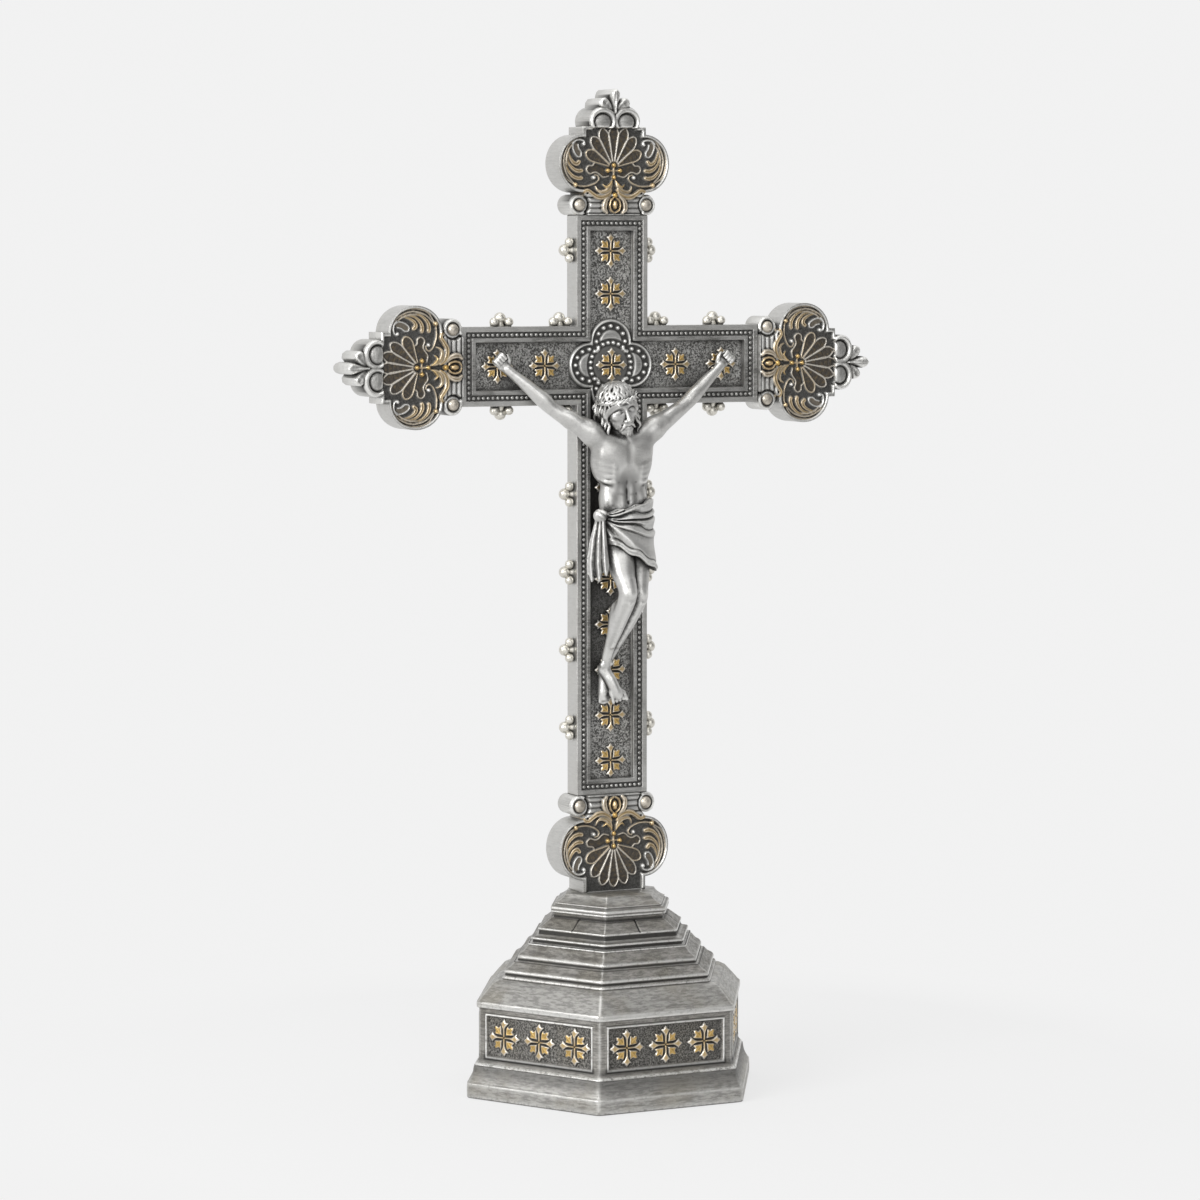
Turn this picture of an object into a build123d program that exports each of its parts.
"""Standing crucifix: a stepped hexagonal base, a framed cross with shell finials and a cast figure.

Millimetres. X runs to the right, -Y to the front and Z up. The origin is under the middle of the base.
"""

import os
from math import cos, pi, radians, sin, sqrt

from build123d import *

os.makedirs("parts", exist_ok=True)

# Felt pad let into the underside
PAD_THICKNESS = 1.2
PAD_RECESS = 1.0
PAD_MARGIN = 4.0
PAD_CLEARANCE = 0.2

# Foot and drum: corner radius of the hexagon, steps inwards and heights
FOOT_RADIUS = 63.7
FOOT_BAND = 6.2
FOOT_INSET = 3.5
FOOT_SLOPE = 6.7
DRUM_INSET = 2.1
DRUM_FLARE = 3.5
DRUM_WALL = 19.6
PANEL_MARGIN = 4.05
PANEL_DROP = 3.0
PANEL_FOOT = 0.4
PANEL_DEPTH = 1.0

# Upper tiers: each station is a step in from the drum's corner radius and a height above the tier's seat
ROOF_PROFILE = [(-1.1, 0.0), (-1.1, 2.6), (5.9, 9.4), (8.5, 10.5)]
STEPS_PROFILE = [(10.5, 0.0), (10.8, 1.8), (12.7, 4.4), (13.5, 4.6),
                 (16.9, 7.4), (17.6, 8.6), (20.5, 12.0), (21.6, 13.0)]
COURSE_PROFILE = [(21.8, 0.0), (21.8, 0.8), (23.5, 0.9), (23.5, 2.2), (22.9, 2.3), (23.1, 3.1),
                  (26.1, 5.5), (26.7, 5.6), (27.3, 6.6), (31.8, 10.4), (32.9, 10.5), (32.9, 12.4)]
CAP_PROFILE = [(31.6, 0.0), (31.6, 2.6), (33.5, 3.9), (35.2, 4.9), (38.5, 7.4)]
CORE_RADIUS = 6.0

# Tie rod, nut and washer that hold base and cross together
TIE_RADIUS = 3.0
TIE_CLEARANCE = 0.15
TIE_GRIP = 14.0
TIE_END = 1.0
WASHER_WIDTH = 14.0
WASHER_THICKNESS = 1.6
WASHER_CLEARANCE = 0.3
NUT_FLATS = 10.0
NUT_HEIGHT = 5.0

# Cross: widths, reach of each arm from the crossing to its finial, and the frame on the front
CROSS_SETBACK = 2.8
BAR_WIDTH = 31.2
BAR_THICKNESS = 9.2
TOP_REACH = 59.5
SIDE_REACH = 65.5
SHAFT_REACH = 171.9
BORDER = 2.1
CHANNEL = 2.3
CHANNEL_DEPTH = 1.0
FILLET_BAND = 1.7
FIELD_DEPTH = 2.2

# Finials, measured outwards from the end of the arm
FINIAL_THICKNESS = 13.8
VOLUTE_RADIUS = 4.1
VOLUTE_SPREAD = 14.8
VOLUTE_OUT = 3.1
LOBE_RADIUS = 10.7
LOBE_SPREAD = 13.5
LOBE_OUT = 19.6
SHOULDER_HALF_WIDTH = 13.9
SHOULDER_OUT = 34.0
RIM = 1.3
GROUND_DEPTH = 1.6
GROUND_START = 8.6
SHELL_FOCUS = 18.4
SHELL_RADIUS = 14.4
SHELL_HEIGHT = 1.1
PETAL_WIDTH = 4.6
PETAL_ANGLES = [-64, -41, -20, 0, 20, 41, 64]
NECK_BAND = 1.4
NECK_PROUD = 0.8
RING_RADIUS = 5.8
RING_SPREAD = 5.3
RING_OUT = 37.2
LEAF_HALF_WIDTH = 7.2
LEAF_OUT = 46.0
TIP_HALF_WIDTH = 2.6
TIP_OUT = 50.0
BOTTOM_STRETCH = 1.07
BOTTOM_PLINTH = 2.72

# Tenons that carry the finials
TENON_WIDTH = 12.0
TENON_THICKNESS = 4.0
TENON_LENGTH = 9.0
TENON_CLEARANCE = 0.1

# Applied ornament: rosettes and knobs run from a first place to a last one short of the arm's end
ROSETTE_MARGIN = 2.3
DRUM_ROSETTE_MARGIN = 0.4
DRUM_ROSETTE_SHARE = 0.34
ROSETTE_THICKNESS = 0.8
ROSETTE_SPACING = 18.3
TOP_ROSETTE_FIRST = 28.3
TOP_ROSETTE_END = 14.2
SIDE_ROSETTE_FIRST = 28.9
SIDE_ROSETTE_END = 16.0
SHAFT_ROSETTE_FIRST = 30.4
SHAFT_ROSETTE_END = 13.4
MEDALLION_CLEARANCE = 0.3
MEDALLION_THICKNESS = 1.0
KNOB_BALL = 1.9
KNOB_SPREAD = 3.5
KNOB_STEM = 2.2
KNOB_PROUD = 5.7
KNOB_DEPTH_SHARE = 0.7
KNOB_CLEARANCE = 0.3
KNOB_SPACING = 31.1
TOP_KNOB_END = 13.9
ARM_KNOB_END = 18.5
SHAFT_KNOB_FIRST = 51.2
SHAFT_KNOB_END = 27.3

# Square pegs that hold the figure on the cross
PEG_SIDE = 1.4
PEG_CLEARANCE = 0.05
PEG_IN_CROSS = 3.0
PEG_LENGTH = 6.4
HAND_RISE = 0.8
FOOT_PEG = (-4.4, -120.5)

# Figure: each station is a place (across, forward of the bar's front, above the crossing) and a half width;
# across is a share of the hand's reach on the arm
TORSO = [((0.4, 9.0, -26.5), 8.2), ((0.2, 9.4, -31.0), 12.0), ((0.2, 9.3, -37.0), 12.3),
         ((0.4, 8.9, -43.0), 10.9), ((0.6, 8.6, -49.0), 9.6), ((0.8, 8.8, -56.0), 11.0), ((0.8, 9.6, -66.0), 10.4)]
ARM = [((0.12, 9.2, -30.0), 5.8), ((0.28, 9.3, -24.8), 5.1), ((0.43, 7.9, -20.6), 4.0),
       ((0.60, 6.2, -15.6), 3.3), ((0.72, 5.2, -10.6), 3.6), ((0.90, 3.2, -3.2), 2.4),
       ((0.96, 2.2, -0.8), 4.1), ((1.02, 1.8, 2.0), 4.2), ((1.06, 1.6, 4.2), 2.6)]
NECK = [((0.2, 9.0, -29.0), 4.4), ((-1.4, 10.6, -25.0), 3.9), ((-3.2, 13.2, -20.5), 4.0)]
HEAD = [((-2.6, 19.3, -26.3), 3.0), ((-2.8, 17.4, -24.4), 5.6), ((-3.3, 15.4, -19.6), 7.6),
        ((-3.9, 13.4, -14.4), 8.2), ((-4.3, 11.8, -10.2), 6.6), ((-4.6, 10.9, -7.9), 3.4)]
FRONT_LEG = [((-5.0, 9.8, -64.0), 5.3), ((-4.9, 13.6, -77.0), 5.2), ((-4.2, 18.0, -88.0), 4.2),
             ((-4.3, 18.4, -92.5), 4.1), ((-5.0, 14.2, -101.5), 3.7), ((-5.6, 9.6, -111.0), 2.6),
             ((-5.9, 6.6, -118.0), 2.1), ((-5.6, 5.4, -121.5), 2.4)]
FRONT_FOOT = [((-6.0, 5.2, -119.5), 2.2), ((-3.9, 7.0, -124.5), 2.5), ((-1.4, 7.4, -130.5), 3.0),
              ((0.2, 6.9, -134.5), 2.2)]
REAR_LEG = [((5.4, 9.8, -64.0), 5.2), ((5.6, 13.0, -77.0), 5.0), ((4.9, 16.6, -88.5), 4.2),
            ((4.5, 16.8, -93.0), 4.1), ((1.2, 12.0, -102.0), 3.6), ((-1.8, 6.8, -111.5), 2.5),
            ((-3.9, 3.4, -118.5), 2.1), ((-4.6, 2.2, -121.5), 2.4)]
REAR_FOOT = [((-4.4, 1.8, -119.0), 2.1), ((-4.6, 2.4, -124.0), 2.5), ((-5.0, 2.8, -130.5), 3.0),
             ((-5.2, 2.6, -135.0), 2.2)]
TORSO_FLAT = 0.62
ARM_FLAT = 0.78
HEAD_FLAT = 0.96
LEG_FLAT = 1.02
FOOT_FLAT = 0.76
LIMB_SIDES = 12
TORSO_SIDES = 16
ARM_JOINT = 15.4
ARM_DROP = 1.8
CROWN_RADIUS = 10.0
CROWN_BAND = 1.2
CROWN_HEIGHT = 2.2
CROWN_PLACE = (-3.8, 13.7, -15.2)

# Loincloth round the hips, its slanting edges (a place and a tilt), its knot and its pleated hanging end
CLOTH = [((0.8, 8.8, -51.0), 12.9), ((0.8, 9.6, -60.0), 13.2), ((0.6, 11.6, -70.0), 13.3),
         ((0.4, 14.8, -84.0), 12.9)]
CLOTH_FLAT = 0.71
CLOTH_WALL = 1.2
CLOTH_TOP = ((0.8, 9.0, -55.5), 13)
CLOTH_HEM = ((0.4, 13.2, -76.5), -24)
KNOT = [((-12.4, 14.2, -56.2), 1.8), ((-12.6, 14.6, -58.8), 3.0), ((-12.8, 14.8, -61.4), 1.8)]
CLOTH_END = [((-12.8, 14.8, -60.0), 2.2), ((-13.9, 15.2, -73.0), 4.3), ((-13.4, 15.4, -86.0), 4.0)]
END_TURN = 35
END_PLEAT = 0.9
END_THICKNESS = 1.2

# Sizes and heights that follow from the sizes above
FOOT_TOP_RADIUS = FOOT_RADIUS - FOOT_INSET
DRUM_RADIUS = FOOT_TOP_RADIUS - DRUM_INSET
PANEL_WIDTH = DRUM_RADIUS - 2 * PANEL_MARGIN
PANEL_HEIGHT = DRUM_WALL - PANEL_DROP - PANEL_FOOT
DRUM_ROSETTE_REACH = PANEL_HEIGHT / 2 - DRUM_ROSETTE_MARGIN
DRUM_ROSETTE_PITCH = PANEL_WIDTH * DRUM_ROSETTE_SHARE
HALF_BAR = BAR_WIDTH / 2
FIELD_HALF_WIDTH = HALF_BAR - BORDER - CHANNEL - FILLET_BAND
ROSETTE_REACH = FIELD_HALF_WIDTH - ROSETTE_MARGIN
MEDALLION_LOBE = FIELD_HALF_WIDTH - MEDALLION_CLEARANCE
HAND_REACH = SIDE_REACH - SIDE_ROSETTE_END
KNOB_DEPTH = BAR_THICKNESS * KNOB_DEPTH_SHARE
CORNER_KNOB = HALF_BAR + KNOB_SPREAD + KNOB_BALL + KNOB_CLEARANCE
ARM_KNOB = SIDE_REACH - ARM_KNOB_END
FOOT_Z = PAD_THICKNESS - PAD_RECESS
DRUM_Z = FOOT_Z + FOOT_BAND + FOOT_SLOPE
ROOF_Z = DRUM_Z + DRUM_FLARE + DRUM_WALL
STEPS_Z = ROOF_Z + ROOF_PROFILE[-1][1]
COURSE_Z = STEPS_Z + STEPS_PROFILE[-1][1]
CAP_Z = COURSE_Z + COURSE_PROFILE[-1][1]
BASE_TOP = CAP_Z + CAP_PROFILE[-1][1]
BOTTOM_LENGTH = SHOULDER_OUT * BOTTOM_STRETCH + BOTTOM_PLINTH
CROSSING_Z = BASE_TOP + BOTTOM_LENGTH + SHAFT_REACH
BAR_FRONT = CROSS_SETBACK - BAR_THICKNESS / 2
BAR_BACK = CROSS_SETBACK + BAR_THICKNESS / 2
FIELD_Y = BAR_FRONT + FIELD_DEPTH
FINIAL_FRONT = CROSS_SETBACK - FINIAL_THICKNESS / 2
FINIAL_BACK = CROSS_SETBACK + FINIAL_THICKNESS / 2
PANEL_MIDDLE = ROOF_Z - PANEL_DROP - PANEL_HEIGHT / 2
PANEL_APOTHEM = DRUM_RADIUS * sqrt(3) / 2 - PANEL_DEPTH
FACE_ANGLES = [30 + 60 * side for side in range(6)]
ACROSS = (1, 0, 0)
UPWARD = (0, 0, 1)
PEG_SPOTS = [(-HAND_REACH, HAND_RISE), (HAND_REACH, HAND_RISE), FOOT_PEG]
HOLE_RADIUS = TIE_RADIUS + TIE_CLEARANCE
POCKET_WIDTH = WASHER_WIDTH + 2 * WASHER_CLEARANCE
POCKET_DEPTH = PAD_RECESS + TIE_END + NUT_HEIGHT + WASHER_THICKNESS


def front(y):
    """Sketch plane across the object at depth y, seen from the front."""
    return Plane.XZ.offset(-y)


def face_plane(angle, apothem, height):
    """Sketch plane on one upright face of the hexagonal drum."""
    out = (cos(radians(angle)), sin(radians(angle)), 0)
    along = (-sin(radians(angle)), cos(radians(angle)), 0)
    return Plane(origin=(apothem * out[0], apothem * out[1], height), x_dir=along, z_dir=out)


def spread(first, last, spacing):
    """Even places from first to last, as near to the spacing as fits."""
    steps = round((last - first) / spacing)
    return [first + (last - first) * step / max(steps, 1) for step in range(steps + 1)]


def moulding(profile, seat):
    """Tier whose stations are steps in from the drum's corner radius."""
    return tier([(DRUM_RADIUS - inset, height) for inset, height in profile], seat)


def tier(stations, seat):
    """Hexagonal solid through stations of corner radius and height above the seat, with a core for the rod."""
    with BuildPart() as stack:
        for (low_radius, low), (high_radius, high) in zip(stations, stations[1:]):
            with BuildSketch(Plane.XY.offset(seat + low)):
                RegularPolygon(low_radius, 6)
            with BuildSketch(Plane.XY.offset(seat + high)):
                RegularPolygon(high_radius, 6)
            loft(ruled=True)
        with BuildSketch(Plane.XY.offset(seat)):
            with Locations((0, CROSS_SETBACK)):
                RegularPolygon(CORE_RADIUS, 6)
        extrude(amount=stations[-1][1], mode=Mode.SUBTRACT)
    return stack.part


def rosette(reach):
    """Flower outline: four spear tips on the axes and four broad leaves between them."""
    with BuildSketch() as flower:
        with PolarLocations(0, 4):
            Polygon((0, -0.16 * reach), (reach, 0), (0, 0.16 * reach), align=None)
        with PolarLocations(0, 4, start_angle=45):
            Polygon((0, -0.15 * reach), (0.8 * reach, -0.3 * reach), (0.8 * reach, 0.3 * reach),
                    (0, 0.15 * reach), align=None)
    return flower.sketch


def cross_outline(inset):
    """Latin cross outline, drawn in from the bar's edge by an inset."""
    half = HALF_BAR - inset
    with BuildSketch() as outline:
        with Locations((0, (TOP_REACH - SHAFT_REACH) / 2)):
            Rectangle(2 * half, TOP_REACH + SHAFT_REACH - 2 * inset)
        Rectangle(2 * (SIDE_REACH - inset), 2 * half)
    return outline.sketch


def finial(stretch, plinth, tipped):
    """Upright finial whose seat is the XY plane: scrolls, lobes, square shoulders, shell and leaf tip."""
    shoulder = SHOULDER_OUT * stretch
    lobe_out = LOBE_OUT * stretch
    length = shoulder + plinth
    with BuildPart() as piece:
        with BuildSketch(front(FINIAL_BACK)):
            with Locations((0, length / 2)):
                Rectangle(2 * SHOULDER_HALF_WIDTH, length)
            with Locations((-VOLUTE_SPREAD, VOLUTE_OUT), (VOLUTE_SPREAD, VOLUTE_OUT)):
                Circle(VOLUTE_RADIUS)
            with Locations((0, -VOLUTE_RADIUS)):
                Rectangle(4 * VOLUTE_SPREAD, 2 * VOLUTE_RADIUS, mode=Mode.SUBTRACT)
            with Locations((-LOBE_SPREAD, lobe_out), (LOBE_SPREAD, lobe_out)):
                Circle(LOBE_RADIUS)
            if tipped:
                with Locations((-RING_SPREAD, RING_OUT), (RING_SPREAD, RING_OUT)):
                    Circle(RING_RADIUS)
                leaf = [(LEAF_HALF_WIDTH * 0.6, RING_OUT), (LEAF_HALF_WIDTH, (RING_OUT + 2 * LEAF_OUT) / 3),
                        (LEAF_HALF_WIDTH * 0.8, LEAF_OUT), (TIP_HALF_WIDTH, LEAF_OUT - TIP_HALF_WIDTH),
                        (TIP_HALF_WIDTH, LEAF_OUT)]
                Polygon(*leaf, (0, TIP_OUT), *[(-x, out) for x, out in reversed(leaf)], align=None)
        extrude(amount=FINIAL_THICKNESS)
        with BuildSketch(front(FINIAL_FRONT)):
            with Locations((0, (GROUND_START + shoulder - RIM) / 2)):
                Rectangle(2 * (SHOULDER_HALF_WIDTH - RIM), shoulder - RIM - GROUND_START)
            with Locations((-LOBE_SPREAD, lobe_out), (LOBE_SPREAD, lobe_out)):
                RegularPolygon(LOBE_RADIUS - RIM, 12)
        extrude(amount=-GROUND_DEPTH, mode=Mode.SUBTRACT)
        with BuildSketch(front(FINIAL_FRONT + GROUND_DEPTH)):
            with Locations((0, SHELL_FOCUS * stretch)):
                for angle in PETAL_ANGLES:
                    with Locations(Location((0, 0), angle)):
                        petal = [(0.4, 0), (PETAL_WIDTH / 2, SHELL_RADIUS * 0.78),
                                 (PETAL_WIDTH / 3, SHELL_RADIUS * 0.94)]
                        Polygon(*petal, (0, SHELL_RADIUS), *[(-x, out) for x, out in reversed(petal)], align=None)
        extrude(amount=SHELL_HEIGHT)
        with BuildSketch(front(FINIAL_FRONT)):
            with Locations((0, VOLUTE_OUT - NECK_BAND), (0, VOLUTE_OUT + NECK_BAND)):
                Rectangle(2 * (VOLUTE_SPREAD - VOLUTE_RADIUS), NECK_BAND)
        extrude(amount=NECK_PROUD)
        with BuildSketch(front(CROSS_SETBACK)):
            with Locations((0, -TENON_LENGTH / 2)):
                Rectangle(TENON_WIDTH, TENON_LENGTH)
        extrude(amount=TENON_THICKNESS / 2, both=True)
    return piece.part


def knob_outline():
    """Three balls on a short stem, seen from the front, standing on the local X axis."""
    with BuildSketch() as outline:
        with Locations((0, KNOB_PROUD - KNOB_BALL), (-KNOB_SPREAD, KNOB_BALL), (KNOB_SPREAD, KNOB_BALL)):
            RegularPolygon(KNOB_BALL, 6)
        with Locations((0, (KNOB_PROUD - KNOB_BALL) / 2)):
            Rectangle(2 * KNOB_STEM, KNOB_PROUD - KNOB_BALL)
    return outline.sketch


def on_figure(x, forward, rise):
    """Point of the figure: across, forward of the bar's front and above the crossing."""
    return (x, BAR_FRONT - forward, CROSSING_Z + rise)


def leaning(stations, side):
    """Arm stations for one side; the side that the head leans to hangs lower towards its shoulder."""
    low = 0 if side > 0 else ARM_DROP
    return [((side * share * HAND_REACH, forward, rise - low * (1 - share)), width)
            for (share, forward, rise), width in stations]


def limb(stations, flat, sides, across, square_to):
    """Form through faceted ovals of one shape, all square to one direction, with flat facets between them."""
    turns = [2 * pi * (corner + 0.5) / sides for corner in range(sides)]
    rings = []
    for place, width in stations:
        section = Plane(origin=on_figure(*place), x_dir=across, z_dir=square_to)
        rings.append([section.from_local_coords((width * cos(turn), flat * width * sin(turn), 0)) for turn in turns])
    with BuildPart() as form:
        for ring, following in zip(rings, rings[1:]):
            ConvexPolyhedron(ring + following)
    return form.part


def arm(side, keep):
    """One side of the arm's joint plane: the stub on the shoulder or the arm itself."""
    with BuildPart() as form:
        add(limb(leaning(ARM, side), ARM_FLAT, LIMB_SIDES, UPWARD, ACROSS))
        split(bisect_by=Plane(origin=(side * ARM_JOINT, 0, 0), z_dir=(side, 0, 0)), keep=keep)
    return form.part


def edge_plane(edge):
    """Slanting plane of one edge of the loincloth."""
    place, tilt = edge
    return Plane(origin=on_figure(*place), z_dir=(-sin(radians(tilt)), 0, cos(radians(tilt))))


def wrap(inset):
    """Swag of cloth round the hips, drawn in all round by an inset."""
    return limb([(place, width - inset) for place, width in CLOTH], CLOTH_FLAT, TORSO_SIDES, ACROSS, UPWARD)


def cloth_end():
    """Hanging end of the cloth: a pleated strip that widens downwards."""
    turned = (cos(radians(END_TURN)), -sin(radians(END_TURN)), 0)
    with BuildPart() as strip:
        for place, width in CLOTH_END:
            with BuildSketch(Plane(origin=on_figure(*place), x_dir=turned, z_dir=UPWARD)):
                folds = [(width * (2 * step / 3 - 1), END_PLEAT * (-1) ** step) for step in range(4)]
                Polygon(*folds, *[(x, y + END_THICKNESS) for x, y in reversed(folds)], align=None)
        loft(ruled=True)
    return strip.part


with BuildPart() as felt_pad:
    with BuildSketch():
        RegularPolygon(FOOT_RADIUS - PAD_MARGIN - PAD_CLEARANCE, 6)
    extrude(amount=PAD_THICKNESS)

with BuildPart() as base_foot:
    add(tier([(FOOT_RADIUS, 0), (FOOT_RADIUS, FOOT_BAND), (FOOT_TOP_RADIUS, FOOT_BAND + FOOT_SLOPE)], FOOT_Z))
    with BuildSketch(Plane.XY.offset(FOOT_Z)):
        RegularPolygon(FOOT_RADIUS - PAD_MARGIN, 6)
    extrude(amount=PAD_RECESS, mode=Mode.SUBTRACT)
    with BuildSketch(Plane.XY.offset(FOOT_Z)):
        with Locations((0, CROSS_SETBACK)):
            Rectangle(POCKET_WIDTH, POCKET_WIDTH)
    extrude(amount=POCKET_DEPTH, mode=Mode.SUBTRACT)

with BuildPart() as base_drum:
    add(tier([(FOOT_TOP_RADIUS, 0), (DRUM_RADIUS, DRUM_FLARE), (DRUM_RADIUS, DRUM_FLARE + DRUM_WALL)], DRUM_Z))
    for angle in FACE_ANGLES:
        with BuildSketch(face_plane(angle, PANEL_APOTHEM, PANEL_MIDDLE)):
            Rectangle(PANEL_WIDTH, PANEL_HEIGHT)
    extrude(amount=2 * PANEL_DEPTH, mode=Mode.SUBTRACT)

with BuildPart() as drum_rosettes:
    for angle in FACE_ANGLES:
        with BuildSketch(face_plane(angle, PANEL_APOTHEM, PANEL_MIDDLE)):
            with GridLocations(DRUM_ROSETTE_PITCH, 0, 3, 1):
                add(rosette(DRUM_ROSETTE_REACH))
    extrude(amount=ROSETTE_THICKNESS)

with BuildPart() as base_roof:
    add(moulding(ROOF_PROFILE, ROOF_Z))

with BuildPart() as base_steps:
    add(moulding(STEPS_PROFILE, STEPS_Z))

with BuildPart() as base_course:
    add(moulding(COURSE_PROFILE, COURSE_Z))

with BuildPart() as base_cap:
    add(moulding(CAP_PROFILE, CAP_Z))

with BuildPart() as tie_rod:
    with BuildSketch(Plane.XY.offset(FOOT_Z + PAD_RECESS + TIE_END / 2)):
        with Locations((0, CROSS_SETBACK)):
            Circle(TIE_RADIUS)
    extrude(amount=BASE_TOP + TIE_GRIP - TIE_END - FOOT_Z - PAD_RECESS)

with BuildPart() as tie_washer:
    with BuildSketch(Plane.XY.offset(FOOT_Z + POCKET_DEPTH - WASHER_THICKNESS)):
        with Locations((0, CROSS_SETBACK)):
            Rectangle(WASHER_WIDTH, WASHER_WIDTH)
            Circle(HOLE_RADIUS, mode=Mode.SUBTRACT)
    extrude(amount=WASHER_THICKNESS)

with BuildPart() as tie_nut:
    with BuildSketch(Plane.XY.offset(FOOT_Z + POCKET_DEPTH - WASHER_THICKNESS - NUT_HEIGHT)):
        with Locations((0, CROSS_SETBACK)):
            RegularPolygon(NUT_FLATS / 2, 6, major_radius=False)
            Circle(HOLE_RADIUS, mode=Mode.SUBTRACT)
    extrude(amount=NUT_HEIGHT)

ARM_ENDS = {
    "top": Location((0, 0, CROSSING_Z + TOP_REACH), (0, 0, 0)),
    "right": Location((SIDE_REACH, 0, CROSSING_Z), (0, 90, 0)),
    "left": Location((-SIDE_REACH, 0, CROSSING_Z), (0, -90, 0)),
    "bottom": Location((0, 0, CROSSING_Z - SHAFT_REACH), (0, 180, 0)),
}

with BuildPart() as socket_tool:
    with BuildSketch(front(CROSS_SETBACK)):
        with Locations((0, -TENON_LENGTH / 2)):
            Rectangle(TENON_WIDTH + 2 * TENON_CLEARANCE, TENON_LENGTH + 2 * TENON_CLEARANCE)
    extrude(amount=TENON_THICKNESS / 2 + TENON_CLEARANCE, both=True)

with BuildPart() as cross_body:
    with BuildSketch(front(BAR_BACK)):
        with Locations((0, CROSSING_Z)):
            add(cross_outline(0))
    extrude(amount=BAR_THICKNESS)
    with BuildSketch(front(BAR_FRONT)):
        with Locations((0, CROSSING_Z)):
            add(cross_outline(BORDER))
            add(cross_outline(BORDER + CHANNEL), mode=Mode.SUBTRACT)
    extrude(amount=-CHANNEL_DEPTH, mode=Mode.SUBTRACT)
    with BuildSketch(front(BAR_FRONT)):
        with Locations((0, CROSSING_Z)):
            add(cross_outline(BORDER + CHANNEL + FILLET_BAND))
    extrude(amount=-FIELD_DEPTH, mode=Mode.SUBTRACT)
    for end in ARM_ENDS.values():
        with Locations(end):
            add(socket_tool.part, mode=Mode.SUBTRACT)
    with BuildSketch(front(FIELD_Y)):
        with Locations([(x, CROSSING_Z + rise) for x, rise in PEG_SPOTS]):
            Rectangle(PEG_SIDE + 2 * PEG_CLEARANCE, PEG_SIDE + 2 * PEG_CLEARANCE)
    extrude(amount=-PEG_IN_CROSS - PEG_CLEARANCE, mode=Mode.SUBTRACT)

with BuildPart() as finial_top:
    with Locations(ARM_ENDS["top"]):
        add(finial(1, 0, True))

with BuildPart() as finial_right:
    with Locations(ARM_ENDS["right"]):
        add(finial(1, 0, True))

with BuildPart() as finial_left:
    with Locations(ARM_ENDS["left"]):
        add(finial(1, 0, True))

with BuildPart() as finial_bottom:
    with Locations(ARM_ENDS["bottom"]):
        add(finial(BOTTOM_STRETCH, BOTTOM_PLINTH, False))
    with BuildSketch(Plane.XY.offset(BASE_TOP)):
        with Locations((0, CROSS_SETBACK)):
            Circle(HOLE_RADIUS)
    extrude(amount=TIE_GRIP, mode=Mode.SUBTRACT)

with BuildPart() as medallion:
    with BuildSketch(front(FIELD_Y)):
        with Locations((0, CROSSING_Z)):
            with PolarLocations(MEDALLION_LOBE, 4):
                Circle(MEDALLION_LOBE)
    extrude(amount=MEDALLION_THICKNESS)

rises = spread(TOP_ROSETTE_FIRST, TOP_REACH - TOP_ROSETTE_END, ROSETTE_SPACING)
drops = spread(SHAFT_ROSETTE_FIRST, SHAFT_REACH - SHAFT_ROSETTE_END, ROSETTE_SPACING)
outs = spread(SIDE_ROSETTE_FIRST, HAND_REACH, ROSETTE_SPACING)
ROSETTE_SPOTS = [(0, rise) for rise in rises]
ROSETTE_SPOTS += [(0, -drop) for drop in drops]
ROSETTE_SPOTS += [(side * out, 0) for side in (-1, 1) for out in outs]

with BuildPart() as cross_rosettes:
    with BuildSketch(front(FIELD_Y)):
        with Locations((0, CROSSING_Z)):
            with Locations(ROSETTE_SPOTS):
                add(rosette(ROSETTE_REACH))
            with Locations(PEG_SPOTS):
                Rectangle(PEG_SIDE + 2 * PEG_CLEARANCE, PEG_SIDE + 2 * PEG_CLEARANCE, mode=Mode.SUBTRACT)
    extrude(amount=ROSETTE_THICKNESS)
    with BuildSketch(front(FIELD_Y - MEDALLION_THICKNESS)):
        with Locations((0, CROSSING_Z)):
            add(rosette(ROSETTE_REACH))
    extrude(amount=ROSETTE_THICKNESS)

KNOB_RISES = [TOP_REACH - TOP_KNOB_END]
KNOB_RISES += [-drop for drop in spread(SHAFT_KNOB_FIRST, SHAFT_REACH - SHAFT_KNOB_END, KNOB_SPACING)]
KNOB_SPOTS = [(side * HALF_BAR, rise, side, 0) for side in (-1, 1) for rise in KNOB_RISES]
KNOB_SPOTS += [(side * out, face * HALF_BAR, 0, face) for side in (-1, 1) for face in (-1, 1)
               for out in (CORNER_KNOB, ARM_KNOB)]

with BuildPart() as side_knobs:
    for x, rise, out_x, out_z in KNOB_SPOTS:
        seat = Plane(origin=(x, CROSS_SETBACK, CROSSING_Z + rise), x_dir=(out_z, 0, -out_x), z_dir=(0, -1, 0))
        with BuildSketch(seat):
            add(knob_outline())
    extrude(amount=KNOB_DEPTH / 2, both=True)

HEAD_AXIS = Vector(*on_figure(*HEAD[-1][0])) - Vector(*on_figure(*HEAD[0][0]))

with BuildPart() as corpus_pegs:
    with BuildSketch(front(FIELD_Y + PEG_IN_CROSS)):
        with Locations([(x, CROSSING_Z + rise) for x, rise in PEG_SPOTS]):
            Rectangle(PEG_SIDE, PEG_SIDE)
    extrude(amount=PEG_LENGTH)

with BuildPart() as peg_holes:
    with BuildSketch(front(FIELD_Y)):
        with Locations([(x, CROSSING_Z + rise) for x, rise in PEG_SPOTS]):
            Rectangle(PEG_SIDE + 2 * PEG_CLEARANCE, PEG_SIDE + 2 * PEG_CLEARANCE)
    extrude(amount=PEG_LENGTH - PEG_IN_CROSS + PEG_CLEARANCE)

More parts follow.
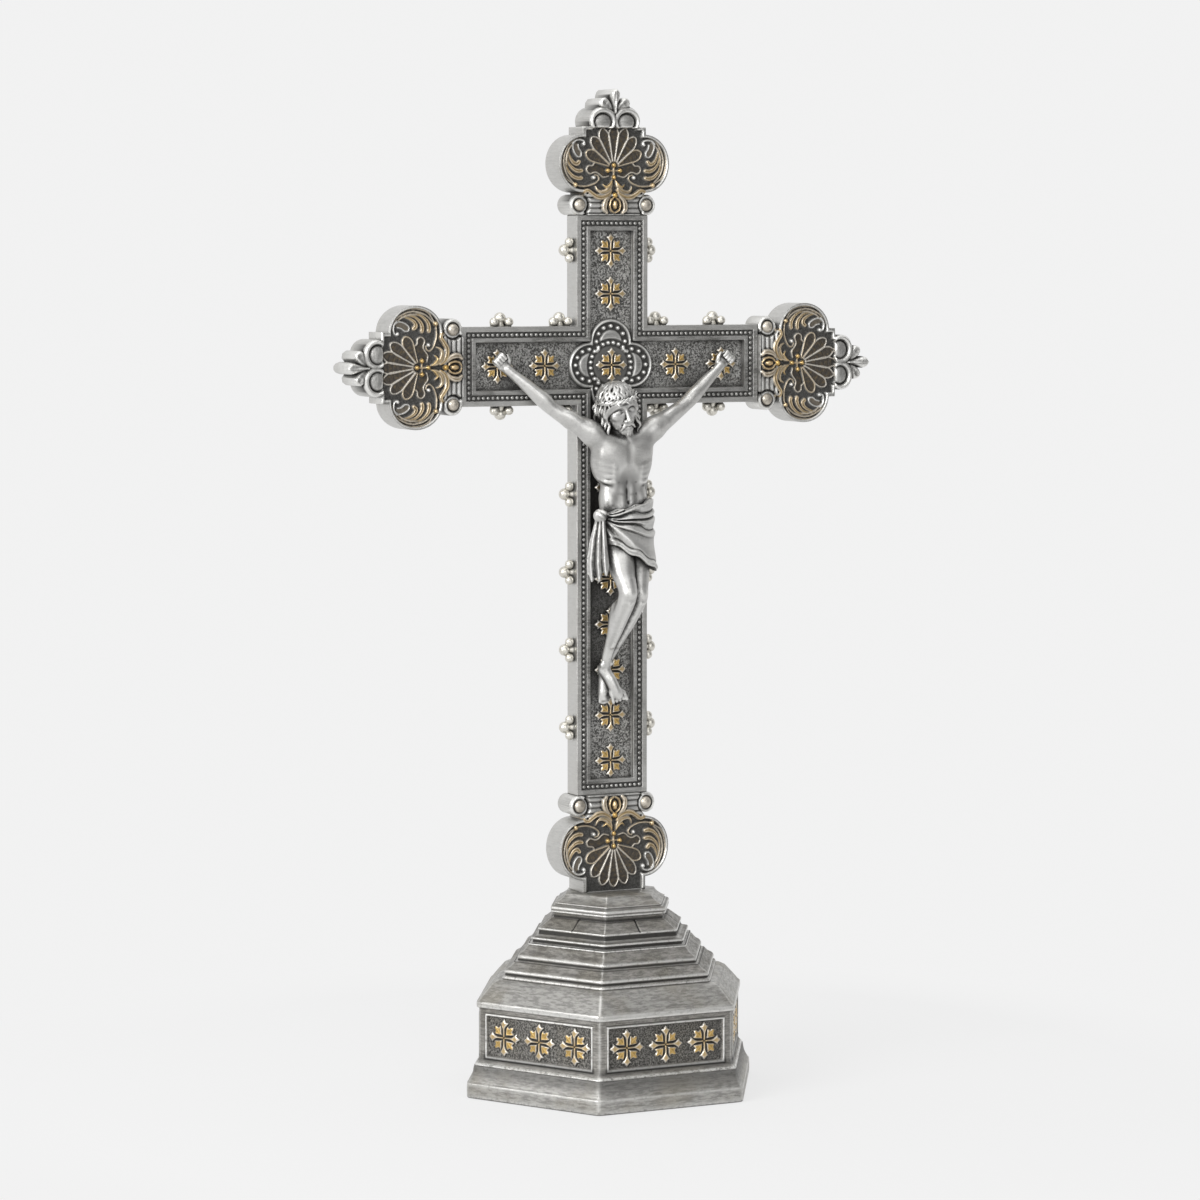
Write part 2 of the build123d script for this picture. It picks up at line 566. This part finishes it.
with BuildPart() as corpus_body:
    add(limb(TORSO, TORSO_FLAT, TORSO_SIDES, ACROSS, UPWARD))
    add(arm(1, Keep.BOTTOM))
    add(arm(-1, Keep.BOTTOM))
    add(limb(HEAD, HEAD_FLAT, TORSO_SIDES, ACROSS, HEAD_AXIS))
    for stations in (NECK, FRONT_LEG, REAR_LEG):
        add(limb(stations, LEG_FLAT, LIMB_SIDES, ACROSS, UPWARD))
    for stations in (FRONT_FOOT, REAR_FOOT):
        add(limb(stations, FOOT_FLAT, LIMB_SIDES, ACROSS, UPWARD))
    add(peg_holes.part, mode=Mode.SUBTRACT)

with BuildPart() as corpus_arm_right:
    add(arm(1, Keep.TOP))
    add(peg_holes.part, mode=Mode.SUBTRACT)

with BuildPart() as corpus_arm_left:
    add(arm(-1, Keep.TOP))
    add(peg_holes.part, mode=Mode.SUBTRACT)

with BuildPart() as loincloth:
    add(wrap(0))
    split(bisect_by=edge_plane(CLOTH_TOP), keep=Keep.BOTTOM)
    split(bisect_by=edge_plane(CLOTH_HEM), keep=Keep.TOP)
    add(limb(KNOT, LEG_FLAT, LIMB_SIDES, ACROSS, UPWARD))
    add(cloth_end())
    add(wrap(CLOTH_WALL), mode=Mode.SUBTRACT)

with BuildPart() as crown_of_thorns:
    with BuildSketch(Plane(origin=on_figure(*CROWN_PLACE), x_dir=ACROSS, z_dir=HEAD_AXIS)):
        RegularPolygon(CROWN_RADIUS, 12)
        RegularPolygon(CROWN_RADIUS - CROWN_BAND, 12, mode=Mode.SUBTRACT)
    extrude(amount=CROWN_HEIGHT / 2, both=True)

PARTS = {
    "felt_pad": felt_pad,
    "base_foot": base_foot,
    "base_drum": base_drum,
    "drum_rosettes": drum_rosettes,
    "base_roof": base_roof,
    "base_steps": base_steps,
    "base_course": base_course,
    "base_cap": base_cap,
    "tie_rod": tie_rod,
    "tie_washer": tie_washer,
    "tie_nut": tie_nut,
    "cross_body": cross_body,
    "finial_top": finial_top,
    "finial_right": finial_right,
    "finial_left": finial_left,
    "finial_bottom": finial_bottom,
    "medallion": medallion,
    "cross_rosettes": cross_rosettes,
    "side_knobs": side_knobs,
    "corpus_body": corpus_body,
    "corpus_arm_right": corpus_arm_right,
    "corpus_arm_left": corpus_arm_left,
    "loincloth": loincloth,
    "crown_of_thorns": crown_of_thorns,
    "corpus_pegs": corpus_pegs,
}
for name, piece in PARTS.items():
    piece.part.label = name
    export_step(piece.part, f"parts/{name}.step")
